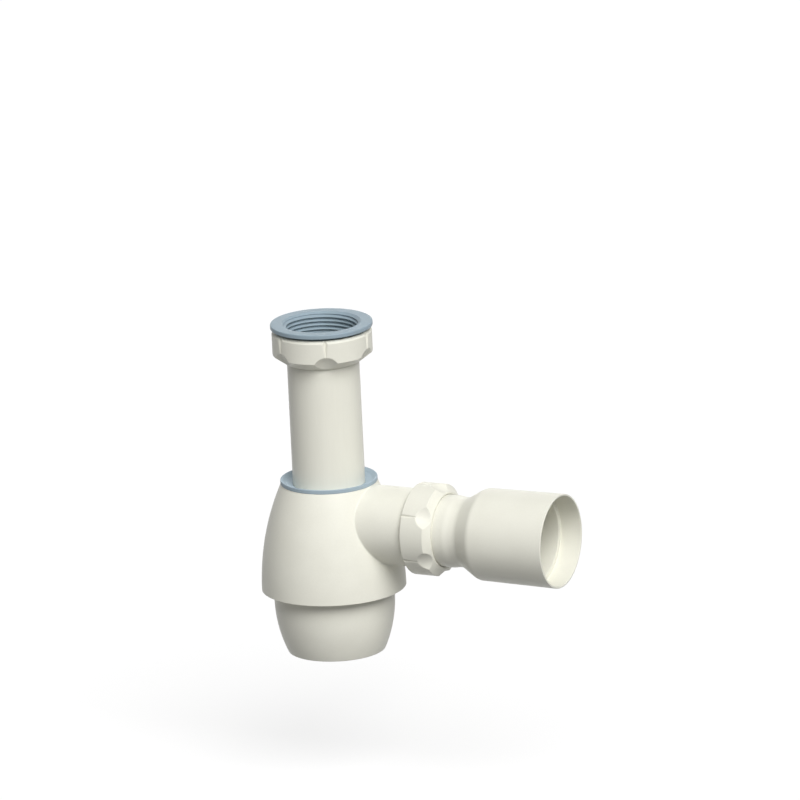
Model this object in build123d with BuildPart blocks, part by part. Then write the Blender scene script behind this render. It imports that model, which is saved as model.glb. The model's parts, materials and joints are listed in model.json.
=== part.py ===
from build123d import *
import math
import os

os.makedirs("parts", exist_ok=True)

# Sizes in millimetres. The origin is the centre of the inlet thread's mouth,
# +Z is up and +X runs along the outlet.

# Pipe that the inlet tube and the outlet spigot share
pipe_radius = 20.0

# Threads, modelled smooth at their pitch radius
coupling_thread_over_pipe = 3.9
arm_thread_over_pipe = 3.2
reducer_wall = 2.945
thread_depth = 1.48
thread_fit = 0.05

# Clearances
seat_gap = 0.05
free_gap = 0.3
seal_fit = 0.05

# Threaded reducing bush
reducer_flange_overhang = 0.6
reducer_flange = 2.4
reducer_height = 12.2
reducer_thread_shown = 1.5
reducer_lead_in = 0.5
reducer_edge = 0.6

# Flat washer under the bush
washer_thickness = 2.4
washer_in_relief = 0.5

# Inlet tube
tube_wall = 2.0
tube_length = 98.25
tube_flange = 2.0
tube_end_round = 0.6
tube_in_seal = 23.85

# Coupling nuts
inlet_nut_wall = 3.8
inlet_nut_floor = 4.95
inlet_nut_bevel = 1.5
outlet_nut_wall = 2.4
outlet_nut_floor = 3.85
outlet_nut_bevel = 0.5
nut_cone_angle = 54.0
nut_cone_lip = 1.0
nut_lead_in = 1.2
nut_grips = 6
inlet_grip_angle = 59.1
inlet_grip_groove = 2.5
inlet_dish_reach = 3.8
outlet_grip_angle = 59.2
outlet_grip_groove = 1.4
outlet_dish_reach = 5.1
grip_groove_end = 0.4
grip_groove_in_dish = 1.0
grip_dish_above_lip = 0.4
grip_wheel_radius = 30.0
grip_wheel_rim = 12.0

# Lip seal in the body's mouth
seal_sleeve_wall = 3.0
seal_rim_width = 3.9
seal_rim_edge = 0.7
seal_rim = 2.3
seal_height = 7.9
seal_funnel_depth = 2.7
seal_rim_round = 0.5

# Trap body
body_height = 60.2
body_top_inset = 0.2
body_rim_radius = 40.0
body_wall = 2.8
body_ledge = 2.6
mouth_wall = 3.3
skirt_wall = 3.35
skirt_lead_in = 0.8
shoulder_width = 2.45
shoulder_below_arm = 1.6
arm_wall = 1.4
arm_below_top = 0.3
arm_root_fillet = 0.8
arm_end = 63.5
arm_thread_length = 7.0
arm_thread_cover = 1.5
arm_mouth_depth = 2.8
arm_mouth_flare = 1.1

# Bottle cup
cup_shown = 36.0
cup_step = 3.25
cup_taper = 6.5
cup_curve = 30.0
cup_wall = 2.6
cup_floor = 3.0
cup_foot_edge = 0.8
cup_collar_start = 2.2
cup_collar_wall = 2.4
cup_seal_thickness = 2.0
cup_seal_inset = 0.9

# Outlet seal, slip ring and adapter
outlet_seal_head = 3.5
slip_ring = 1.2
outlet_ring_clearance = 0.4
spigot_in_arm = 25.5
spigot_wall = 2.7
neck_depth = 0.6
neck_start = 5.35
neck_taper = 5.0
neck_straight = 3.0
neck_blend = 1.8
adapter_cone = 10.4
socket_bore = 25.1
socket_bore_depth = 12.5
socket_stop = 2.8
socket_start_wall = 0.5
socket_mouth_wall = 1.1
socket_length = 46.0
socket_blend = 1.6

# Radii that follow from the pipe
pipe_clearance = pipe_radius + free_gap
seal_bore = pipe_radius + seal_fit
nut_relief = pipe_radius + coupling_thread_over_pipe
nut_thread = nut_relief - thread_depth / 2
male_thread = nut_thread - thread_fit
inlet_thread = nut_thread - reducer_wall
inlet_nut_radius = nut_relief + inlet_nut_wall
arm_thread_root = pipe_radius + arm_thread_over_pipe
arm_nut_thread = arm_thread_root - thread_depth / 2
arm_male_thread = arm_nut_thread - thread_fit
outlet_nut_radius = arm_thread_root + outlet_nut_wall
reducer_flange_radius = inlet_nut_radius + reducer_flange_overhang
washer_radius = nut_relief - washer_in_relief
tube_bore = pipe_radius - tube_wall
outlet_ring_radius = arm_male_thread - outlet_ring_clearance
seal_sleeve_radius = pipe_radius + seal_sleeve_wall
seal_rim_radius = seal_sleeve_radius + seal_rim_width
seal_recess_radius = seal_sleeve_radius + free_gap
arm_radius = pipe_clearance + arm_wall
arm_bore_start = seal_recess_radius + mouth_wall
adapter_bore = pipe_radius - spigot_wall
neck_radius = pipe_radius - neck_depth

# Radii that follow from the body's skirt
body_top_radius = seal_rim_radius - body_top_inset
cup_thread = body_rim_radius - skirt_wall
cup_male_thread = cup_thread - thread_fit
collar_bore = cup_male_thread - cup_collar_wall
shoulder_radius = cup_thread - shoulder_width
cup_radius = cup_thread - cup_step
cup_bore = cup_radius - cup_wall
cup_foot_radius = cup_radius - cup_taper

# Heights, from the mouth down
nut_top = -reducer_flange - reducer_thread_shown
reducer_bottom = -reducer_height
washer_top = reducer_bottom - seat_gap
tube_top = washer_top - washer_thickness
tube_bottom = tube_top - tube_length
inlet_nut_ledge = nut_top - tube_top + tube_flange + seat_gap
seal_top = tube_bottom + tube_in_seal
body_top = seal_top - seal_rim - seat_gap
body_rim = body_top - body_height
recess_bottom = seal_top - seal_height - free_gap
body_ceiling = recess_bottom - body_ledge
arm_axis = body_top - arm_radius - arm_below_top
body_shoulder = arm_axis - pipe_clearance - shoulder_below_arm
cup_bottom = body_rim - cup_shown
cup_curve_top = cup_bottom + cup_curve
cup_top = body_shoulder - seat_gap - cup_seal_thickness
collar_start = body_rim + cup_collar_start

# Places along the outlet
arm_thread_start = arm_end - arm_thread_length
outlet_nut_start = arm_thread_start - arm_thread_cover
outlet_seal_end = arm_end + seat_gap + outlet_seal_head
slip_ring_end = outlet_seal_end + seat_gap + slip_ring
outlet_nut_ledge = slip_ring_end + seat_gap - outlet_nut_start
outlet_nut_end = outlet_nut_start + outlet_nut_ledge + outlet_nut_floor
spigot_end = arm_end - spigot_in_arm
neck_from = outlet_nut_end + neck_start
neck_low = neck_from + neck_taper
neck_to = neck_low + neck_straight
cone_to = neck_to + adapter_cone
socket_mouth = cone_to + socket_length
socket_floor = socket_mouth - socket_bore_depth
outlet_axis = Axis((0, 0, arm_axis), (1, 0, 0))

# Corners of the adapter's outline, and the ways from one to the next
neck_corner = Vector(neck_to, arm_axis + neck_radius)
cone_corner = Vector(cone_to, arm_axis + socket_bore + socket_start_wall)
socket_edge = Vector(socket_mouth, arm_axis + socket_bore + socket_mouth_wall)
cone_way = (cone_corner - neck_corner).normalized()
socket_way = (socket_edge - cone_corner).normalized()

# The dome's outline is one arc, upright at the skirt's rim
dome_bulge = body_rim_radius - body_top_radius
dome_arc = (body_height**2 + dome_bulge**2) / (2 * dome_bulge)
dome_centre = body_rim_radius - dome_arc


def dome_inside(height):
    """The inside radius of the dome at a height."""
    return dome_centre + math.sqrt((dome_arc - body_wall) ** 2 - (height - body_rim) ** 2)


def dome_inside_height(radius):
    """The height at which the inside of the dome has a radius."""
    return body_rim + math.sqrt((dome_arc - body_wall) ** 2 - (radius - dome_centre) ** 2)


def half_section(place):
    """The plane through a piece's axis: x is the radius, y runs along the axis."""
    return Plane(place.origin, x_dir=place.x_dir, z_dir=-place.y_dir)


def ring(place, inner, outer, length):
    """A flat ring that starts on the plane and runs along its normal."""
    with BuildPart() as flat_ring:
        with BuildSketch(place):
            Circle(outer)
            Circle(inner, mode=Mode.SUBTRACT)
        extrude(amount=length)
    return flat_ring.part


def grip_wheel(height):
    """The wheel with a round rim that cuts a finger dish, centred at a height over a nut's open end."""
    rim = grip_wheel_rim
    hub = grip_wheel_radius - rim
    with BuildPart() as wheel:
        with BuildSketch(Plane.XY.offset(height)):
            with BuildLine():
                ThreePointArc((hub, -rim), (hub + rim, 0), (hub, rim))
                Polyline((hub, rim), (0, rim), (0, -rim), (hub, -rim))
            make_face()
        revolve(axis=Axis((0, 0, height), (0, 1, 0)))
    return wheel.part


def coupling_nut(
    place,
    radius,
    bevel,
    thread,
    ledge,
    floor,
    relief,
    relief_length,
    grip_angle,
    groove,
    dish_reach,
):
    """A union nut: open end on the plane, cone end along its normal, grooves that end in dishes."""
    length = ledge + floor
    lip = pipe_clearance + nut_cone_lip
    shoulder = length - (radius - lip) / math.tan(math.radians(nut_cone_angle))
    dish_start = shoulder - dish_reach
    dish_end_radius = lip + grip_dish_above_lip
    dish_run = length - dish_start
    dish_drop = radius - dish_end_radius
    dish_chord = math.hypot(dish_run, dish_drop)
    stand_off = math.sqrt(grip_wheel_radius**2 - (dish_chord / 2) ** 2)
    wheel_height = (dish_start + length) / 2 + stand_off * dish_drop / dish_chord
    wheel_place = (radius + dish_end_radius) / 2 + stand_off * dish_run / dish_chord
    wheel = grip_wheel(wheel_height)
    groove_length = dish_start + grip_groove_in_dish
    groove_taper = math.degrees(math.atan((groove - grip_groove_end) / 2 / groove_length))
    with BuildPart(place) as nut:
        with BuildSketch(half_section(place)):
            with BuildLine():
                Polyline(
                    (thread + nut_lead_in, 0),
                    (radius - bevel, 0),
                    (radius, bevel),
                    (radius, shoulder),
                    (lip, length),
                    (pipe_clearance, length),
                    (pipe_clearance, ledge),
                    (relief, ledge),
                    (relief, ledge - relief_length),
                    (thread, ledge - relief_length),
                    (thread, nut_lead_in),
                    close=True,
                )
            make_face()
        revolve(axis=Axis(place.origin, place.z_dir))
        with BuildSketch(place):
            with PolarLocations(radius, nut_grips, start_angle=grip_angle):
                Rectangle(groove, groove, rotation=45)
        extrude(amount=groove_length, taper=groove_taper, mode=Mode.SUBTRACT)
        with PolarLocations(wheel_place, nut_grips, start_angle=grip_angle):
            add(wheel, mode=Mode.SUBTRACT)
    return nut.part


# Threaded reducing bush
with BuildPart() as thread_reducer:
    with BuildSketch(Plane.XZ):
        with BuildLine():
            Polyline(
                (inlet_thread + reducer_lead_in, 0),
                (reducer_flange_radius, 0),
                (reducer_flange_radius, -reducer_flange),
                (male_thread, -reducer_flange),
                (male_thread, reducer_bottom),
                (inlet_thread, reducer_bottom),
                (inlet_thread, -reducer_lead_in),
                close=True,
            )
        make_face()
    revolve(axis=Axis.Z)
    fillet(thread_reducer.faces().sort_by(Axis.Z)[-1].outer_wire().edges(), reducer_edge)
    chamfer(thread_reducer.faces().sort_by(Axis.Z)[0].outer_wire().edges(), reducer_edge)

# Flat washer, on the tube's flange
inlet_washer = ring(Plane.XY.offset(tube_top), tube_bore, washer_radius, washer_thickness)

# Inlet tube with its flange
with BuildPart() as inlet_tube:
    with BuildSketch(Plane.XY.offset(tube_bottom)):
        Circle(pipe_radius)
    extrude(amount=tube_length)
    with BuildSketch(Plane.XY.offset(tube_top - tube_flange)):
        Circle(washer_radius - free_gap)
    extrude(amount=tube_flange)
    with BuildSketch(Plane.XY.offset(tube_bottom)):
        Circle(tube_bore)
    extrude(amount=tube_length, mode=Mode.SUBTRACT)
    fillet(inlet_tube.faces().sort_by(Axis.Z)[0].outer_wire().edges(), tube_end_round)

# Nut that holds the tube's flange up against the washer and the bush
inlet_nut_place = Plane((0, 0, nut_top), x_dir=(1, 0, 0), z_dir=(0, 0, -1))
inlet_nut = coupling_nut(
    inlet_nut_place,
    inlet_nut_radius,
    inlet_nut_bevel,
    nut_thread,
    inlet_nut_ledge,
    inlet_nut_floor,
    nut_relief,
    washer_thickness + tube_flange + seat_gap,
    inlet_grip_angle,
    inlet_grip_groove,
    inlet_dish_reach,
)

# Lip seal that grips the tube in the body's mouth
with BuildPart() as tube_seal:
    with BuildSketch(Plane.XZ):
        with BuildLine():
            Polyline(
                (seal_rim_radius - seal_rim_edge, seal_top),
                (seal_rim_radius, seal_top),
                (seal_rim_radius, seal_top - seal_rim),
                (seal_sleeve_radius, seal_top - seal_rim),
                (seal_sleeve_radius, seal_top - seal_height),
                (seal_bore, seal_top - seal_height),
                (seal_bore, seal_top - seal_funnel_depth),
                close=True,
            )
        make_face()
    revolve(axis=Axis.Z)
    fillet(tube_seal.faces().sort_by(Axis.Z)[-1].outer_wire().edges(), seal_rim_round)

# Trap body: dome, neck and outlet arm in one moulding
shoulder_meets_dome = dome_inside_height(shoulder_radius)
dome_middle = (shoulder_meets_dome + body_ceiling) / 2

with BuildPart() as trap_body:
    with BuildSketch(Plane.XZ):
        with BuildLine():
            TangentArc((body_rim_radius, body_rim), (body_top_radius, body_top), tangent=(0, 1))
            Polyline((body_top_radius, body_top), (0, body_top), (0, body_rim), (body_rim_radius, body_rim))
        make_face()
    revolve(axis=Axis.Z)
    with BuildSketch(Plane.YZ):
        with Locations((0, arm_axis)):
            Circle(arm_radius)
    extrude(amount=arm_end)
    arm_root = trap_body.edges(Select.LAST).filter_by(GeomType.BSPLINE)
    if arm_root:
        fillet(arm_root, arm_root_fillet)
    with BuildSketch(Plane.YZ.offset(arm_thread_start)):
        with Locations((0, arm_axis)):
            Circle(arm_male_thread)
    extrude(amount=arm_thread_length)
    with BuildSketch(Plane.XZ):
        with BuildLine():
            inside = Polyline(
                (dome_inside(body_ceiling), body_ceiling),
                (0, body_ceiling),
                (0, body_rim),
                (cup_thread + skirt_lead_in, body_rim),
                (cup_thread, body_rim + skirt_lead_in),
                (cup_thread, body_shoulder),
                (shoulder_radius, body_shoulder),
                (shoulder_radius, shoulder_meets_dome),
            )
            ThreePointArc(inside @ 1, (dome_inside(dome_middle), dome_middle), inside @ 0)
        make_face()
    revolve(axis=Axis.Z, mode=Mode.SUBTRACT)
    with BuildSketch(Plane.XY.offset(recess_bottom)):
        Circle(seal_recess_radius)
    extrude(amount=body_top - recess_bottom, mode=Mode.SUBTRACT)
    with BuildSketch(Plane.XY.offset(body_ceiling)):
        Circle(pipe_clearance)
    extrude(amount=body_ledge, mode=Mode.SUBTRACT)
    with BuildSketch(Plane.YZ.offset(arm_bore_start)):
        with Locations((0, arm_axis)):
            Circle(pipe_clearance)
    extrude(amount=arm_end - arm_bore_start, mode=Mode.SUBTRACT)
    with BuildSketch(Plane.XZ):
        with BuildLine():
            Polyline(
                (arm_end - arm_mouth_depth, arm_axis),
                (arm_end, arm_axis),
                (arm_end, arm_axis + pipe_clearance + arm_mouth_flare),
                (arm_end - arm_mouth_depth, arm_axis + pipe_clearance),
                close=True,
            )
        make_face()
    revolve(axis=outlet_axis, mode=Mode.SUBTRACT)

# Bottle cup that screws into the body's skirt
with BuildPart() as bottle_cup:
    with BuildSketch(Plane.XZ):
        with BuildLine():
            TangentArc((cup_radius, cup_curve_top), (cup_foot_radius, cup_bottom), tangent=(0, -1))
            Polyline((cup_foot_radius, cup_bottom), (0, cup_bottom), (0, cup_bottom + cup_floor))
            floor_edge = (cup_foot_radius - cup_wall, cup_bottom + cup_floor)
            Line((0, cup_bottom + cup_floor), floor_edge)
            TangentArc((cup_bore, cup_curve_top), floor_edge, tangent=(0, -1))
            Polyline(
                (cup_bore, cup_curve_top),
                (cup_bore, collar_start + cup_wall / 2),
                (collar_bore, collar_start + cup_wall + cup_collar_wall),
                (collar_bore, cup_top),
                (cup_male_thread, cup_top),
                (cup_male_thread, collar_start + cup_collar_wall),
                (cup_radius, collar_start),
                (cup_radius, cup_curve_top),
            )
        make_face()
    revolve(axis=Axis.Z)
    fillet(bottle_cup.faces().sort_by(Axis.Z)[0].outer_wire().edges(), cup_foot_edge)

# Flat seal on the cup's rim
cup_seal = ring(
    Plane.XY.offset(cup_top),
    collar_bore,
    cup_male_thread - cup_seal_inset,
    cup_seal_thickness,
)

# Rubber seal in the arm's mouth
with BuildPart() as outlet_seal:
    with BuildSketch(Plane.XZ):
        with BuildLine():
            Polyline(
                (arm_end - arm_mouth_depth / 2, arm_axis + seal_bore),
                (outlet_seal_end, arm_axis + seal_bore),
                (outlet_seal_end, arm_axis + outlet_ring_radius),
                (arm_end + seat_gap, arm_axis + outlet_ring_radius),
                (arm_end + seat_gap, arm_axis + pipe_radius + arm_mouth_flare),
                (arm_end - arm_mouth_depth / 2, arm_axis + pipe_radius + arm_mouth_flare / 2),
                close=True,
            )
        make_face()
    revolve(axis=outlet_axis)

# Slip ring between the seal and the outlet nut
outlet_slip_ring = ring(
    Plane((outlet_seal_end + seat_gap, 0, arm_axis), x_dir=(0, 1, 0), z_dir=(1, 0, 0)),
    pipe_clearance,
    outlet_ring_radius,
    slip_ring,
)

# Nut on the outlet arm
outlet_nut_place = Plane((outlet_nut_start, 0, arm_axis), x_dir=(0, 0, 1), z_dir=(1, 0, 0))
outlet_nut = coupling_nut(
    outlet_nut_place,
    outlet_nut_radius,
    outlet_nut_bevel,
    arm_nut_thread,
    outlet_nut_ledge,
    outlet_nut_floor,
    outlet_ring_radius + free_gap,
    slip_ring,
    outlet_grip_angle,
    outlet_grip_groove,
    outlet_dish_reach,
)

# Outlet adapter: spigot, neck and pipe socket in one moulding
with BuildPart() as outlet_adapter:
    with BuildSketch(Plane.XZ):
        with BuildLine():
            spigot_top = (neck_from, arm_axis + pipe_radius)
            neck_start_point = (neck_low, arm_axis + neck_radius)
            neck_bend = (neck_corner - Vector(neck_blend, 0), neck_corner + cone_way * neck_blend)
            socket_bend = (cone_corner - cone_way * socket_blend, cone_corner + socket_way * socket_blend)
            Spline(spigot_top, neck_start_point, tangents=((1, 0), (1, 0)))
            Line(neck_start_point, neck_bend[0])
            TangentArc(*neck_bend, tangent=(1, 0))
            Line(neck_bend[1], socket_bend[0])
            TangentArc(*socket_bend, tangent=cone_way)
            Polyline(
                socket_bend[1],
                socket_edge,
                (socket_mouth, arm_axis + socket_bore),
                (socket_floor, arm_axis + socket_bore),
                (socket_floor, arm_axis + socket_bore - socket_stop),
                (cone_to, arm_axis + socket_bore - socket_stop),
                (neck_to, arm_axis + adapter_bore),
                (spigot_end, arm_axis + adapter_bore),
                (spigot_end, arm_axis + pipe_radius),
                spigot_top,
            )
        make_face()
    revolve(axis=outlet_axis)

pieces = {
    "thread_reducer": thread_reducer.part,
    "inlet_washer": inlet_washer,
    "inlet_nut": inlet_nut,
    "inlet_tube": inlet_tube.part,
    "tube_seal": tube_seal.part,
    "trap_body": trap_body.part,
    "bottle_cup": bottle_cup.part,
    "cup_seal": cup_seal,
    "outlet_seal": outlet_seal.part,
    "outlet_slip_ring": outlet_slip_ring,
    "outlet_nut": outlet_nut,
    "outlet_adapter": outlet_adapter.part,
}
for name, piece in pieces.items():
    piece.label = name
    export_step(piece, f"parts/{name}.step")
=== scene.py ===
import json
import math

import bpy
import numpy as np
from mathutils import Matrix, Vector

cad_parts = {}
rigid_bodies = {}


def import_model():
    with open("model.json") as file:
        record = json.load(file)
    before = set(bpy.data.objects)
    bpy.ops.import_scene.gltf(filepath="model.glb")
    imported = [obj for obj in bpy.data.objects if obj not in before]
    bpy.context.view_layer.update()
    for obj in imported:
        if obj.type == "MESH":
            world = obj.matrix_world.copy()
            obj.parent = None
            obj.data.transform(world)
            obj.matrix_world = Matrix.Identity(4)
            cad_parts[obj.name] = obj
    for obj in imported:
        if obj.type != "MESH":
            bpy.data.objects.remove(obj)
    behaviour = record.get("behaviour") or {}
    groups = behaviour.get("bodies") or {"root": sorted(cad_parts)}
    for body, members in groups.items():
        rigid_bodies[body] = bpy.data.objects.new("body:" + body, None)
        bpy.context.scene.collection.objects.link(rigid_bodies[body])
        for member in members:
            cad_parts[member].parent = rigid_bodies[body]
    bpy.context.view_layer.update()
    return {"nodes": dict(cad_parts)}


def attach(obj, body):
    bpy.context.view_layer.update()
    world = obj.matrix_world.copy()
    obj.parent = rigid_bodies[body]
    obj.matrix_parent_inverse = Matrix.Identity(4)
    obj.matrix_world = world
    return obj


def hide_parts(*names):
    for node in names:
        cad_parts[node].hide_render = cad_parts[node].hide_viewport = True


for leftover in list(bpy.data.objects):
    bpy.data.objects.remove(leftover)
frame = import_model()

# Threaded reducing bush
# A ring of blue-grey plastic that screws up onto a basin's waste and carries the inlet nut on
# its outside. It is injection moulded, and both threads are unscrewed from the mould.

pipe_pitch = 2.309
pipe_thread_depth = 1.48
thread_step = 0.19
lead_in_step = 0.14
lead_in_past_root = 0.05
bush_flange_edge = 28.3
bush_flange = 2.4
bush_low = -12.2
bush_crest = 23.9
bush_lead_in = 1.4
bush_neck = 0.15
bush_thread_fade = 1.15
bush_wall_middle = 21.7
bush_mouth = 21.9
bush_inside_crest = 19.476
bush_inside_top = -2.0
bush_inside_lead_in = 1.2
inside_thread_top = -0.9
shortest_run = 0.3
from_end = 0.05


def outline(corners, arc_step=15):
    """The points of a section line from corners (radius, place, rounding, longest step after it).

    All are in millimetres: a distance from the piece's axis, and a place along it. Each rounded
    corner is an arc tangent to both runs: its ends lie the rounding times the tangent of half
    the turn away from the corner. A point close to each end of a run keeps flat faces flat, and
    a run is divided evenly where its step is given.
    """
    spots = np.array([corner[:2] for corner in corners], float)
    starts, ends, arcs = [], [], []
    for index, (_, _, rounding, _) in enumerate(corners):
        spot = spots[index]
        if not rounding:
            starts.append(spot)
            ends.append(spot)
            arcs.append([spot])
            continue
        before = spot - spots[index - 1]
        after = spots[index + 1] - spot
        before, after = before / np.hypot(*before), after / np.hypot(*after)
        turn = math.atan2(before[0] * after[1] - before[1] * after[0], before @ after)
        reach = rounding * math.tan(abs(turn) / 2)
        side = math.copysign(1, turn) * np.array([-before[1], before[0]])
        middle = spot - before * reach + side * rounding
        angles = np.linspace(0, turn, max(3, round(math.degrees(abs(turn)) / arc_step) + 1))
        spoke = -side * rounding
        outwards = spoke[0] * np.cos(angles) - spoke[1] * np.sin(angles)
        along = spoke[0] * np.sin(angles) + spoke[1] * np.cos(angles)
        arcs.append(list(middle + np.stack([outwards, along], -1)))
        starts.append(spot - before * reach)
        ends.append(spot + after * reach)
    points = list(arcs[0])
    for arc, corner, here, there in zip(arcs[1:], corners, ends, starts[1:]):
        step = corner[3]
        length = np.hypot(*(there - here))
        if step or length >= shortest_run:
            count = math.ceil((length - 2 * from_end) / step) if step else 1
            shares = np.linspace(from_end, length - from_end, count + 1) / length
            points.extend(here + (there - here) * shares[:, None])
        points.extend(arc)
    return np.array(points)


def thread_rise(along, angle, pitch):
    """How far a rounded V-thread stands at a point, from 0 in its roots to 1 on its crests.

    The phase climbs one pitch a turn, as on a right-hand thread. A triangle wave of it is
    stretched by a half and divided by the sixth root of 1 plus its sixth power, which holds it
    between -1 and 1 and rounds its shoulders, as the crests and roots of pipe threads are.
    """
    phase = along / pitch - angle / math.tau
    wave = 1.5 * (np.abs((phase % 1) * 4 - 2) - 1)
    return 0.5 + 0.5 * wave / (1 + np.abs(wave) ** 6) ** (1 / 6)


def ramp(value, low, high):
    """0 below low, 1 above high, and a straight line between them."""
    return np.clip((value - low) / (high - low), 0, 1)


def turned(name, section, angles, place=((0, 0, 0), (1, 0, 0), (0, 0, 1)), shape=None):
    """A closed surface of revolution: every point of the section goes round the axis.

    A point stands its place along the axis, and its radius out from it: the cosine of the angle
    times the radius across, and the sine times the radius aside. Millimetres become metres.
    The section runs with the solid on its left. shape(radius, along, angle) may give each
    point another radius, which is how threads, grooves and dishes are cut. place is the
    axis's start, the direction of angle 0, and the axis's direction. A section that starts
    and ends on the axis is closed there by one point at each end.
    """
    radius = np.broadcast_to(section[:, :1], (len(section), len(angles)))
    along = np.broadcast_to(section[:, 1:2], radius.shape)
    if shape:
        radius = shape(radius, along, angles[None, :])
    origin, across, axis = (np.array(vector, float) for vector in place)
    aside = np.cross(axis, across)
    points = origin + along[..., None] * axis + (radius * np.cos(angles))[..., None] * across
    points = (points + (radius * np.sin(angles))[..., None] * aside) / 1000
    index = np.arange(radius.size).reshape(radius.shape)
    used = np.ones(radius.size, bool)
    if section[0, 0] == 0:
        used[index[0, 1:]] = used[index[-1, 1:]] = False
        index = np.cumsum(used).reshape(radius.shape) - 1
        rings = index[1:-1]
        start, end = np.full_like(rings[0], index[0, 0]), np.full_like(rings[0], index[-1, 0])
        caps = np.vstack([
            np.stack([start, np.roll(rings[0], -1), rings[0]], -1),
            np.stack([end, rings[-1], np.roll(rings[-1], -1)], -1),
        ])
    else:
        rings = np.vstack([index, index[:1]])
        caps = np.empty((0, 3), int)
    near, far = rings[:-1], rings[1:]
    quads = np.stack([near, np.roll(near, -1, 1), np.roll(far, -1, 1), far], -1).reshape(-1, 4)
    mesh = bpy.data.meshes.new(name)
    mesh.from_pydata(points.reshape(-1, 3)[used].tolist(), [], quads.tolist() + caps.tolist())
    mesh.polygons.foreach_set("use_smooth", np.ones(len(mesh.polygons), bool))
    piece = bpy.data.objects.new(name, mesh)
    bpy.context.scene.collection.objects.link(piece)
    return piece


class Wire:
    """An output of one node. Arithmetic on it adds Math nodes, and node() adds any other."""

    def __init__(self, tree, socket=None):
        self.tree, self.socket = tree, socket

    def node(self, kind, settings, inputs, output=0):
        """Adds a node: its settings first, then the values or wires of its inputs."""
        made = self.tree.nodes.new("ShaderNode" + kind)
        for name, value in settings.items():
            setattr(made, name, value)
        for name, value in inputs.items():
            if isinstance(value, Wire):
                self.tree.links.new(value.socket, made.inputs[name])
            else:
                made.inputs[name].default_value = value
        return Wire(self.tree, made.outputs[output] if made.outputs else None)

    def maths(self, operation, *values):
        """Adds a Math node for an operation on values or wires."""
        return self.node("Math", {"operation": operation}, dict(enumerate(values)))

    def __add__(self, other):
        return self.maths("ADD", self, other)

    def __sub__(self, other):
        return self.maths("SUBTRACT", self, other)

    def __rsub__(self, other):
        return self.maths("SUBTRACT", other, self)

    def __mul__(self, other):
        return self.maths("MULTIPLY", self, other)

    __radd__, __rmul__ = __add__, __mul__

    def above(self, low, high):
        """0 where the wire is under low, 1 over high, and eased between them."""
        limits = {"Value": self, "From Min": low, "From Max": high}
        return self.node("MapRange", {"interpolation_type": "SMOOTHSTEP"}, limits)

    def noise(self, size, detail=2.0, stretch=(1, 1, 1)):
        """Soft noise from 0 to 1 at the point that the wire carries, with lumps of a size in metres."""
        point = self
        if stretch != (1, 1, 1):
            point = self.node("VectorMath", {"operation": "MULTIPLY"}, {0: self, 1: stretch})
        return self.node("TexNoise", {}, {"Vector": point, "Scale": 1 / size, "Detail": detail})

    def between(self, low, high):
        """The colour that lies the wire's share of the way from one colour to the other."""
        return self.node("Mix", {"data_type": "RGBA"}, {0: self, 6: (*low, 1), 7: (*high, 1)}, 2)


def moulded(name, colour, clouding, roughness, grain=0.000012, sinking=0.00005, stretch=(1, 1, 1)):
    """Plastic or rubber from a mould: a colour that clouds a little, a fine spark-eroded grain,
    and slow sink marks that bend its reflections. Grain and sinking are depths in metres."""
    material = bpy.data.materials.new(name)
    material.use_nodes = True
    tree = material.node_tree
    shader = tree.nodes["Principled BSDF"]
    spot = Wire(tree).node("TexCoord", {}, {}, "Object")
    clouds = spot.noise(0.016, 3.0, stretch)
    specks = spot.noise(0.0011, 2.0, stretch)
    pores = spot.noise(0.00032, 3.0, stretch)
    scuffs = spot.noise(0.006, 5.0, (1, 1, 0.35)).above(0.56, 0.74)
    shade = clouds * 0.7 + specks * 0.3
    deep = tuple(part * (1 - clouding * share) for part, share in zip(colour, (0.9, 1.0, 1.5)))
    light = tuple(part * (1 + clouding * share) for part, share in zip(colour, (0.9, 0.9, 0.6)))
    tree.links.new(shade.above(0.3, 0.7).between(deep, light).socket, shader.inputs["Base Color"])
    rough = roughness + 0.10 * (clouds - 0.5) + 0.06 * (specks - 0.5) + 0.07 * scuffs
    tree.links.new(rough.socket, shader.inputs["Roughness"])
    dents = spot.noise(0.02, 1.0, stretch)
    pits = pores * 0.7 + specks * 0.6
    sink = spot.node("Bump", {}, {"Strength": 1.0, "Distance": sinking, "Height": dents})
    fine = spot.node("Bump", {}, {"Strength": 1.0, "Distance": grain, "Height": pits, "Normal": sink})
    tree.links.new(fine.socket, shader.inputs["Normal"])
    shader.inputs["IOR"].default_value = 1.49
    shader.inputs["Specular IOR Level"].default_value = 0.22
    return material


def dress(piece, material, slot, body, *nodes):
    """Gives a new piece its material and its body, and hides the nodes it stands for; slot is not used."""
    piece.data.materials.append(material)
    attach(piece, body)
    if nodes:
        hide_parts(*nodes)


def bush_threads(radius, along, angle):
    """Cuts both threads: a point outside the wall's middle keeps within the outer thread's
    surface, and a point inside it keeps outside the inner thread's. The outer thread rises from
    a plain neck at the flange."""
    rise = pipe_thread_depth * thread_rise(along, angle, pipe_pitch)
    thread_end = bush_flange + bush_neck
    strength = ramp(-along, thread_end, thread_end + bush_thread_fade)
    outer = bush_crest - pipe_thread_depth + rise * strength
    outside = np.where(-along > bush_flange, np.minimum(radius, outer), radius)
    inside = np.where(along < inside_thread_top, np.maximum(radius, bush_inside_crest + rise), radius)
    return np.where(radius > bush_wall_middle, outside, inside)


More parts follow.
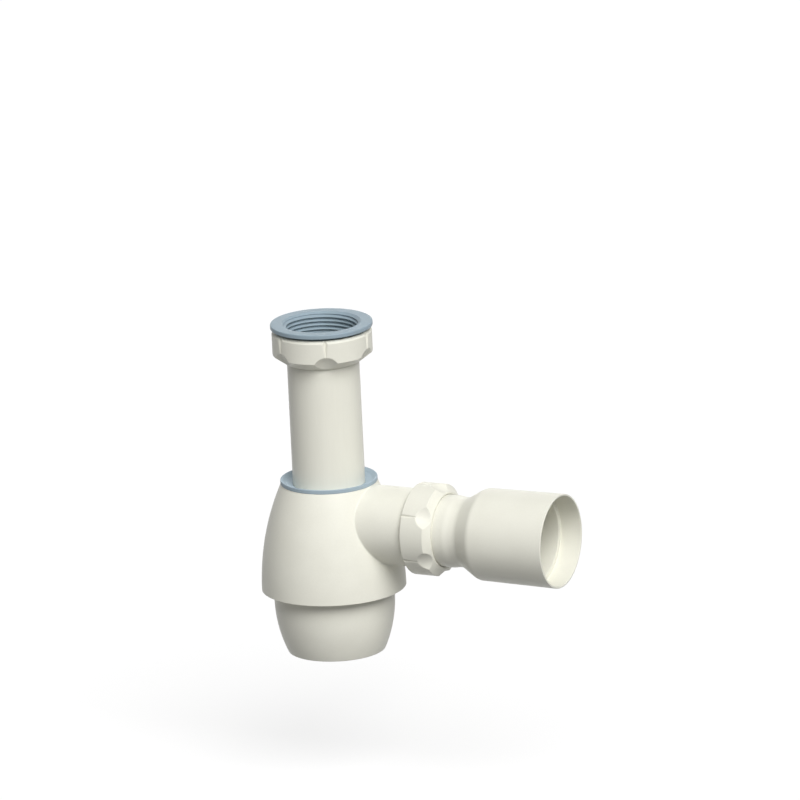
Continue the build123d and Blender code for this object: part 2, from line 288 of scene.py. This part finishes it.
round_angles = np.linspace(0, math.tau, 256, endpoint=False)
bush_outside = outline([
    (bush_wall_middle + 0.1, bush_low, 0, 0),
    (bush_crest - pipe_thread_depth - lead_in_past_root, bush_low, 0.15, lead_in_step),
    (bush_crest, bush_low + bush_lead_in, 0.1, thread_step),
    (bush_crest, -bush_flange - 1.5, 0, thread_step),
    (bush_crest, -bush_flange, 0.12, 0),
    (bush_flange_edge, -bush_flange, 0.25, 0),
    (bush_flange_edge, 0, 0.6, 0),
    (bush_mouth + 0.7, 0, 0, 0),
])
bush_inside = outline([
    (bush_mouth + 0.6, 0, 0, 0),
    (bush_mouth, 0, 0.2, 0.15),
    (bush_inside_crest, bush_inside_top, 0.1, thread_step),
    (bush_inside_crest, bush_low + bush_inside_lead_in, 0.1, lead_in_step),
    (bush_inside_crest + pipe_thread_depth + lead_in_past_root, bush_low, 0.15, 0),
    (bush_wall_middle - 0.1, bush_low, 0, 0),
])
bush_plastic = moulded("blue_grey_plastic", (0.30, 0.385, 0.45), 0.05, 0.40)
bush = turned("reducing_bush", np.vstack([bush_outside, bush_inside]), round_angles, shape=bush_threads)
dress(bush, bush_plastic, "reducer", "reducer", "thread_reducer")

# Washer under the bush
# A flat ring cut from black rubber sheet. It lies on the tube's flange, and the nut squeezes
# it up against the bush.

washer_rubber = moulded("washer_rubber", (0.030, 0.031, 0.033), 0.25, 0.62, 0.00002, 0.00002)
frame["nodes"]["inlet_washer"].material_slots[0].material = washer_rubber

# Coupling nuts
# Two union nuts of the same pattern, moulded in ivory plastic. Six V-grooves narrow from the open
# end to finger dishes that run out over the shoulder, and the cone end slips along the pipe.

nut_grips = 6
columns_a_grip = 72
nut_edge = 0.45
groove_end_half_width = 0.283
groove_middle_rounding = 0.1
groove_in_dish = 1.0
dish_above_lip = 0.4
wheel_radius = 30.0
wheel_rim = 12.0
cone_angle = math.radians(54)
cone_end = 21.3
slip_bore = 20.3
lip_split = 20.75
crease_width = 0.15
grip_edge_width = 0.2
out_of_reach = 9.0


def grip_angles(first):
    """Angles round a nut, closest together at the grooves and at the sides of the dishes.

    Each column takes an equal share of a density: 1, with a hump at each groove and a lower
    hump beside it, both shaped as bell curves of the angle.
    """
    away = np.radians(np.linspace(-30, 30, 3001))
    at_groove = np.exp(-((away / 0.05) ** 2))
    at_dish_side = np.exp(-(((np.abs(away) - 0.22) / 0.07) ** 2))
    density = 1 + 5 * at_groove + 3 * at_dish_side
    share = np.cumsum(density) - density[0]
    sector = np.interp(np.arange(columns_a_grip) / columns_a_grip, share / share[-1], away)
    return np.concatenate([first + math.tau * k / nut_grips + sector for k in range(nut_grips)])


def soft_least(first, second, width):
    """The smaller of two values, with the crease between them rounded over a width: a quarter
    of the width comes off where they are equal, less with the square of how near they are."""
    near = np.maximum(width - np.abs(first - second), 0) / width
    return np.minimum(first, second) - near * near * width / 4


def dish_floor(along, turn, start, length, outer):
    """The radius that a round-rimmed wheel leaves where it cuts a dish at an angle from a grip.

    The wheel's rim passes the dish's start on the wall and its end over the nut's lip, so its
    centre stands off the middle of that chord. Its edge lies, at a sideways distance, the hub
    plus the rim's arc from the centre. That distance is the radius sought times the angle's
    sine, so the radius is found by going round three times.
    """
    end_radius = cone_end + dish_above_lip
    run, drop = length - start, outer - end_radius
    chord = math.hypot(run, drop)
    stand_off = math.sqrt(wheel_radius**2 - (chord / 2) ** 2)
    middle_along = (start + length) / 2 + stand_off * drop / chord
    middle_radius = (outer + end_radius) / 2 + stand_off * run / chord
    radius = outer + 0 * along * turn
    for _ in range(3):
        sideways = np.minimum(np.abs(radius * np.sin(turn)), wheel_rim)
        reach = wheel_radius - wheel_rim + np.sqrt(wheel_rim**2 - sideways**2)
        room = np.maximum(reach**2 - (along - middle_along) ** 2, 0)
        radius = np.minimum((middle_radius - np.sqrt(room)) / np.cos(turn), outer + out_of_reach)
    return radius


def coupling_nut(
    name, place, outer, bevel, ledge, floor, relief, relief_length, bore_crest, depth, mouth, split,
    phase, first, groove_half_width, dish_reach,
):
    """A coupling nut: outside line and inside line joined, then grooves, dishes and thread cut.

    Places are measured from its open end. The thread runs from the mouth to the relief, a wide
    stretch before the ledge, and the floor behind the ledge slips along the pipe. Both lines
    start or end at the split in the open face. phase sets the thread against the one it runs
    on, and first is a grip's angle. A groove's walls fall 45 degrees to a rounded middle line,
    and it gets shallower and narrower evenly from the open end to its dish, which starts at
    its reach before the shoulder. Where a groove cuts the rim, the open face is drawn in
    evenly, from nothing at the split to the whole cut at the rim.
    """
    length = ledge + floor
    shoulder = length - (outer - cone_end) / math.tan(cone_angle)
    dish_start = shoulder - dish_reach
    groove_length = dish_start + groove_in_dish
    face_split = split + 0.08
    rim = outer - bevel - nut_edge * math.tan(math.pi / 8)
    outside = outline([
        (face_split, 0, 0, 0),
        (outer - bevel, 0, nut_edge, 0.2),
        (outer, bevel, nut_edge, 0.9),
        (outer, dish_start - 0.5, 0, 0.22),
        (outer, shoulder, 0.35, 0.24),
        (cone_end, length, 0.25, 0),
        (lip_split + 0.07, length, 0, 0),
    ])
    inside = outline([
        (lip_split, length, 0, 0),
        (slip_bore, length, 0.2, 0),
        (slip_bore, ledge, 0.15, 0),
        (relief, ledge, 0.15, 0),
        (relief, ledge - relief_length, 0.1, thread_step),
        (bore_crest, ledge - relief_length - abs(relief - bore_crest), 0.1, thread_step),
        (bore_crest, mouth - bore_crest, 0.1, thread_step),
        (mouth, 0, 0.2, 0),
        (split, 0, 0, 0),
    ])
    outside_rows = len(outside)
    angles = grip_angles(first)
    turn = (angles - first + math.pi / nut_grips) % (math.tau / nut_grips) - math.pi / nut_grips

    def cut(radius, along, angle):
        share = along / groove_length
        half_width = groove_half_width * (1 - share) + groove_end_half_width * share
        sideways = outer * np.sin(turn)
        groove = outer - half_width + np.sqrt(sideways**2 + groove_middle_rounding**2)
        groove = np.where(along < groove_length, groove, outer + out_of_reach)
        dish = dish_floor(along, turn, dish_start, length, outer)
        target = soft_least(groove, dish, crease_width)
        wall = soft_least(radius, target, grip_edge_width)
        cut_rim = soft_least(np.full_like(radius, rim), target, grip_edge_width)
        share = (radius - face_split) / (rim - face_split)
        face = radius - share * np.maximum(rim - cut_rim, 0)
        skin = np.where(along < 0.001, face, wall)
        thread = bore_crest + depth * thread_rise(along + phase, angle, pipe_pitch)
        in_thread = (along < ledge - relief_length) & (along > 0.05)
        threaded = np.where(in_thread, np.maximum(radius, thread), radius)
        rows = np.arange(radius.shape[0])[:, None]
        return np.where(rows < outside_rows, skin, threaded)

    return turned(name, np.vstack([outside, inside]), angles, place, cut)


nut_top = -3.9
ivory = (0.83, 0.822, 0.735)
nut_plastic = moulded("ivory_nut_plastic", ivory, 0.02, 0.40)
inlet_nut = coupling_nut(
    "inlet_coupling_nut",
    place=((0, 0, nut_top), (1, 0, 0), (0, 0, -1)),
    outer=27.7,
    bevel=1.5,
    ledge=12.8,
    floor=4.95,
    relief=23.9,
    relief_length=4.45,
    bore_crest=22.52,
    depth=pipe_thread_depth,
    mouth=24.4,
    split=25.4,
    phase=-nut_top,
    first=math.radians(59.1),
    groove_half_width=1.768,
    dish_reach=3.8,
)
dress(inlet_nut, nut_plastic, "nut", "inlet_nut", "inlet_nut")

# Inlet tube
# A length of ivory waste pipe with a flange formed on its top end. It slides up and down in
# the lip seal, which is how the trap is set to the basin's height.

pipe_plastic = moulded("ivory_pipe_plastic", ivory, 0.02, 0.34, 0.000006, 0.00003, (1, 1, 0.08))
frame["nodes"]["inlet_tube"].material_slots[0].material = pipe_plastic

# Lip seal in the body's mouth
# Soft blue-grey rubber. Its rim rests on the body, a funnel leads the tube in, and its sleeve
# sits in the body's recess and grips the tube.

seal_top = -89.05
seal_low = seal_top - 7.9
seal_rim_under = seal_top - 2.3
seal_rim_edge = 26.9
seal_sleeve = 23.0
seal_bore = 20.05
seal_funnel = outline([
    (23.6, seal_top - 1.75, 0, 0),
    (seal_bore, seal_top - 2.75, 0.35, 0),
    (seal_bore, seal_low, 0.3, 0),
    (seal_sleeve, seal_low, 0.4, 0),
    (seal_sleeve, seal_rim_under, 0.15, 0),
    (seal_rim_edge, seal_rim_under, 0.3, 0),
    (seal_rim_edge, seal_top, 0.45, 0),
    (26.15, seal_top, 0.3, 0),
    (25.0, seal_top - 0.75, 0, 0),
    (24.3, seal_top - 1.3, 0, 0),
])
seal_rubber = moulded("blue_seal_rubber", (0.37, 0.46, 0.535), 0.05, 0.5, 0.00001, 0.00003)
lip_seal = turned("lip_seal", seal_funnel, round_angles)
dress(lip_seal, seal_rubber, "lip_seal", "tube_seal", "tube_seal")

# Trap body
# Dome, mouth and outlet arm are one ivory moulding. The skirt is threaded inside for the cup
# and the arm is threaded outside for its nut. The threads stand on the walls as thin sleeves.

body_plastic = moulded("ivory_body_plastic", ivory, 0.02, 0.38)
frame["nodes"]["trap_body"].material_slots[0].material = body_plastic

arm_height = -113.4
arm_wall = 22.41
arm_thread_from = 56.65
arm_thread_to = 63.3
arm_thread_depth = 0.74
arm_sleeve_inside = 21.9
arm_place = ((0, 0, arm_height), (0, 0, 1), (1, 0, 0))


def arm_ridges(radius, along, angle):
    """Raises the outer thread on the sleeve. It rises over its first 1.2 mm and dies away over
    its last 0.8 mm."""
    strength = ramp(along, arm_thread_from + 0.05, arm_thread_from + 1.25)
    strength = strength * ramp(-along, -arm_thread_to, -arm_thread_to + 0.8)
    rise = arm_thread_depth * thread_rise(along, angle, pipe_pitch) * strength
    return np.where(radius > arm_wall, arm_wall + 0.015 + rise, radius)


arm_sleeve = outline([
    (arm_sleeve_inside, arm_thread_to + 0.05, 0, 0),
    (arm_sleeve_inside, arm_thread_from - 0.05, 0, 0),
    (arm_wall + 0.01, arm_thread_from, 0, thread_step),
    (arm_wall + 0.01, arm_thread_to, 0, 0),
])
arm_thread = turned("arm_thread", arm_sleeve, round_angles, arm_place, arm_ridges)
dress(arm_thread, body_plastic, "body", "trap_body")

cup_pitch = 4.0
cup_thread_step = 0.22
skirt_wall = 36.65
skirt_thread_top = -138.0
skirt_thread_low = -149.7
skirt_ridge_height = 0.75
skirt_sleeve_outside = 37.4


def bottle_ridge(along, angle, half_foot, half_top):
    """A ridge that climbs the cup's pitch a turn: 1 up to half its top's width from its middle
    line, 0 beyond half its foot's width, and a straight flank between them."""
    phase = along / cup_pitch - angle / math.tau
    away = np.abs((phase % 1) - 0.5) * cup_pitch
    return ramp(-away, -half_foot, -half_top)


def skirt_ridges(radius, along, angle):
    """Raises the inner thread on the skirt's sleeve. It rises over its lowest 1 mm and dies away
    over the 1.2 mm below its top."""
    strength = ramp(along, skirt_thread_low + 0.1, skirt_thread_low + 1.1)
    strength = strength * ramp(-along, 0.2 - skirt_thread_top, 1.4 - skirt_thread_top)
    rise = skirt_ridge_height * bottle_ridge(along, angle, 0.95, 0.5) * strength
    return np.where(radius < skirt_wall, skirt_wall - 0.015 - rise, radius)


skirt_sleeve = outline([
    (skirt_sleeve_outside, skirt_thread_low - 0.05, 0, 0),
    (skirt_sleeve_outside, skirt_thread_top + 0.1, 0, 0),
    (skirt_wall - 0.01, skirt_thread_top, 0, cup_thread_step),
    (skirt_wall - 0.01, skirt_thread_low, 0, 0),
])
skirt_thread = turned("skirt_thread", skirt_sleeve, round_angles, shape=skirt_ridges)
dress(skirt_thread, body_plastic, "body", "trap_body")

# Bottle cup
# The deep ivory cup that holds the water seal and screws out for cleaning. It is moulded from
# a gate in the middle of its bottom, where a small dimple with the gate's stub is left.

cup_low = -187.6
cup_floor = -184.6
cup_bend_top = -157.6
cup_mouth = -137.35
cup_wall = 33.4
cup_foot = 26.9
cup_bore = 30.8
cup_bore_foot = 24.3
cup_collar = 36.55
cup_collar_bore = 34.2
cup_mouth_edge = 35.7
collar_wall_middle = 35.2
collar_foot, collar_low = -149.4, -147.0
collar_bore_foot, collar_bore_low = -148.1, -144.4
cup_collar_step = 0.24
stub_top, stub_foot, dimple_foot, dimple_rim = 0.9, 1.1, 3.6, 4.2
dimple_depth = 0.6
stub_height = 0.45


def cup_arc(outer, low_radius, top, low):
    """Points on the arc that leaves the wall upright at its top and ends at the low radius.

    Its radius is (height squared plus inset squared) over twice the inset.
    """
    inset, height = outer - low_radius, top - low
    bend = (height**2 + inset**2) / (2 * inset)
    places = np.linspace(low, top, 22)
    return [(outer - bend + math.sqrt(bend**2 - (top - z) ** 2), z, 0, 0) for z in places]


cup_outside = cup_arc(cup_wall, cup_foot, cup_bend_top, cup_low)
cup_inside = cup_arc(cup_bore, cup_bore_foot, cup_bend_top, cup_floor)[::-1]
cup_line = outline([
    (0, cup_low + dimple_depth - stub_height, 0, 0),
    (stub_top, cup_low + dimple_depth - stub_height, 0.1, 0),
    (stub_foot, cup_low + dimple_depth, 0.1, 0),
    (dimple_foot, cup_low + dimple_depth, 0.3, 0),
    (dimple_rim, cup_low, 0.25, 0),
    (cup_foot, cup_low, 0.8, 0),
    *cup_outside[2:],
    (cup_wall, collar_foot, 0.4, cup_collar_step),
    (cup_collar, collar_low, 0.3, cup_collar_step),
    (cup_collar, cup_mouth - 0.9, 0.3, cup_collar_step),
    (cup_mouth_edge, cup_mouth, 0.2, 0),
    (cup_collar_bore, cup_mouth, 0.3, 0),
    (cup_collar_bore, collar_bore_low, 0.4, 0),
    (cup_bore, collar_bore_foot, 1.0, 0),
    *cup_inside[:-1],
    (cup_bore_foot, cup_floor, 2.2, 0),
    (0, cup_floor, 0, 0),
])


def cup_grooves(radius, along, angle):
    """Cuts the groove that the skirt's ridge runs in, a little wider and deeper than it is."""
    groove = cup_collar - (skirt_ridge_height + 0.05) * bottle_ridge(along, angle, 1.1, 0.65)
    return np.where(radius > collar_wall_middle, np.minimum(radius, groove), radius)


cup_plastic = moulded("ivory_cup_plastic", ivory, 0.02, 0.38)
cup_angles = np.linspace(0, math.tau, 288, endpoint=False)
cup = turned("screw_cup", cup_line, cup_angles, shape=cup_grooves)
dress(cup, cup_plastic, "cup", "bottle_cup", "bottle_cup")

# Ring seals
# Black rubber: a flat ring on the cup's rim, and a ring in the arm's mouth that the outlet nut
# squeezes onto the spigot.

ring_rubber = moulded("ring_rubber", (0.030, 0.031, 0.033), 0.25, 0.55, 0.000012, 0.00002)
frame["nodes"]["cup_seal"].material_slots[0].material = ring_rubber
frame["nodes"]["outlet_seal"].material_slots[0].material = ring_rubber

# Slip ring
# A thin white plastic ring, between the outlet nut and the rubber, so that the nut turns
# without dragging the seal round.

slip_plastic = moulded("white_slip_plastic", (0.80, 0.80, 0.78), 0.02, 0.3, 0.000005, 0.00002)
frame["nodes"]["outlet_slip_ring"].material_slots[0].material = slip_plastic

# Outlet nut
# The same nut in a smaller size, of the same ivory plastic. It screws onto the arm and presses
# the slip ring against the rubber, which then grips the spigot.

nut_start = 55.0
outlet_nut = coupling_nut(
    "outlet_coupling_nut",
    place=((nut_start, 0, arm_height), (0, 0, 1), (1, 0, 0)),
    outer=25.6,
    bevel=0.5,
    ledge=13.35,
    floor=3.85,
    relief=22.31,
    relief_length=1.2,
    bore_crest=22.5,
    depth=arm_thread_depth,
    mouth=23.55,
    split=24.0,
    phase=nut_start,
    first=math.radians(59.2),
    groove_half_width=0.99,
    dish_reach=5.1,
)
dress(outlet_nut, nut_plastic, "nut", "outlet_nut", "outlet_nut")

# Outlet adapter
# Spigot, waisted neck, cone and pipe socket in one ivory moulding. The spigot slides and turns
# in the arm, and the next pipe pushes into the socket up to its step.

spigot_end, bore_split = 38.0, 60.0
neck_from, neck_low, neck_to, cone_to = 77.55, 82.55, 85.55, 95.95
socket_step, socket_mouth = 129.45, 141.95
spigot_edge, spigot_bore = 20.0, 17.3
neck_edge = 19.4
socket_edge_at_cone, socket_edge = 25.6, 26.2
socket_bore, socket_narrow = 25.1, 22.3
waist_share = np.linspace(0, 1, 15)
waist_radius = (spigot_edge + neck_edge + (spigot_edge - neck_edge) * np.cos(math.pi * waist_share)) / 2
waist_place = neck_from + (neck_low - neck_from) * waist_share
waist = [(radius, place, 0, 0) for radius, place in zip(waist_radius, waist_place)]
adapter_line = outline([
    (spigot_bore, bore_split, 0, 0),
    (spigot_bore, spigot_end, 0.3, 0),
    (spigot_edge, spigot_end, 0.8, 0),
    *waist,
    (neck_edge, neck_to, 6.5, 0),
    (socket_edge_at_cone, cone_to, 6.0, 0),
    (socket_edge, socket_mouth, 0.35, 0),
    (socket_bore, socket_mouth, 0.3, 0),
    (socket_bore, socket_step, 0.2, 0),
    (socket_narrow, socket_step, 0.35, 0),
    (socket_narrow, cone_to, 1.5, 0),
    (spigot_bore, neck_to, 1.5, 0),
    (spigot_bore, bore_split + 0.5, 0, 0),
], arc_step=5)
adapter_plastic = moulded("ivory_adapter_plastic", ivory, 0.02, 0.38)
adapter_angles = np.linspace(0, math.tau, 224, endpoint=False)
adapter = turned("spigot_and_socket", adapter_line, adapter_angles, arm_place)
dress(adapter, adapter_plastic, "adapter", "outlet_adapter", "outlet_adapter")

# Studio
# The trap hangs by its inlet thread over a plain pale floor. A long lens looks at it from ten
# metres away, with one large soft lamp to the right of it and above, and a weaker one behind the
# trap for its back, in an even white room.

camera_turn = math.radians(27.5416)
camera_rise = math.radians(15.7315)
camera_roll = math.radians(2.7683)
camera_away = 10.0
picture_width = 800
pixels_per_metre = 1806.2
aim_right, aim_up = 0.0347029, 0.1372486
bottom_middle = Vector((0, 0, cup_low / 1000))

back = Vector((
    math.sin(camera_turn) * math.cos(camera_rise),
    -math.cos(camera_turn) * math.cos(camera_rise),
    math.sin(camera_rise),
))
level_right = Vector((math.cos(camera_turn), math.sin(camera_turn), 0))
level_up = back.cross(level_right)
right = math.cos(camera_roll) * level_right - math.sin(camera_roll) * level_up
up = math.sin(camera_roll) * level_right + math.cos(camera_roll) * level_up

lens = bpy.data.cameras.new("long_lens")
lens.sensor_width = 36.0
lens.lens = pixels_per_metre * camera_away / picture_width * lens.sensor_width
lens.clip_start, lens.clip_end = 0.1, 40.0
camera = bpy.data.objects.new("camera", lens)
place = bottom_middle + aim_right * right + aim_up * up + camera_away * back
camera.matrix_world = Matrix.Translation(place) @ Matrix((right, up, back)).transposed().to_4x4()
scene = bpy.context.scene
scene.collection.objects.link(camera)
scene.camera = camera
scene.view_settings.view_transform = "Standard"


def far_lamp(name, energy, spread, turn, rise):
    """A lamp too far off to fade: a disc as wide as the spread, at a turn from the lens and a
    rise above it, all in degrees."""
    light = bpy.data.lights.new(name, "SUN")
    light.energy, light.angle = energy, math.radians(spread)
    turn, rise = camera_turn + math.radians(turn), math.radians(rise)
    direction = Vector((math.sin(turn) * math.cos(rise), -math.cos(turn) * math.cos(rise), math.sin(rise)))
    lamp = bpy.data.objects.new(name, light)
    lamp.location = direction
    lamp.rotation_mode = "QUATERNION"
    lamp.rotation_quaternion = direction.to_track_quat("Z", "Y")
    scene.collection.objects.link(lamp)
    return lamp


far_lamp("key_lamp", energy=3.15, spread=40, turn=18, rise=46)
back_lamp = far_lamp("back_lamp", energy=1.2, spread=20, turn=180, rise=12)
back_lamp.visible_glossy = False


def seen_directly(tree):
    """1 for rays that come from the camera, a reflection or a clear thing, 0 for the rest."""
    seen = Wire(tree).node("LightPath", {}, {}, "Is Camera Ray")
    rays = seen.socket.node.outputs
    for kind in ("Is Glossy Ray", "Is Transmission Ray"):
        seen = seen.maths("MAXIMUM", seen, Wire(tree, rays[kind]))
    return seen


floor_height = -0.262
floor_reach = 3.0
floor_corners = [
    (floor_reach * x, floor_reach * y, floor_height) for x, y in ((-1, -1), (1, -1), (1, 1), (-1, 1))
]
floor_mesh = bpy.data.meshes.new("floor")
floor_mesh.from_pydata(floor_corners, [], [(0, 1, 2, 3)])
floor = bpy.data.objects.new("floor", floor_mesh)
scene.collection.objects.link(floor)
floor_paint = bpy.data.materials.new("floor_paint")
floor_paint.use_nodes = True
tree = floor_paint.node_tree
tree.nodes.clear()
spot = Wire(tree).node("TexCoord", {}, {}, "Object")
tone = spot.noise(0.05, 4.0).between((0.29, 0.29, 0.29), (0.31, 0.31, 0.31))
matt = spot.node("BsdfDiffuse", {}, {"Color": tone})
pale = spot.node("BsdfDiffuse", {}, {"Color": (0.9, 0.9, 0.9, 1)})
glow_strength, glow_share = 1.08, 0.72
glow = spot.node("Emission", {}, {"Color": (1, 1, 1, 1), "Strength": glow_strength})
lit = spot.node("MixShader", {}, {0: glow_share, 1: pale, 2: glow})
seen = seen_directly(tree)
ground = spot.node("MixShader", {}, {0: seen, 1: matt, 2: lit})
spot.node("OutputMaterial", {}, {"Surface": ground})
floor_mesh.materials.append(floor_paint)

room_light = 0.17
world = bpy.data.worlds.new("white_room")
scene.world = world
world.use_nodes = True
tree = world.node_tree
tree.nodes.clear()
seen = seen_directly(tree)
level = room_light + (1 - room_light) * seen
room = seen.node("Background", {}, {"Color": (1, 1, 1, 1), "Strength": level})
seen.node("OutputWorld", {}, {"Surface": room})
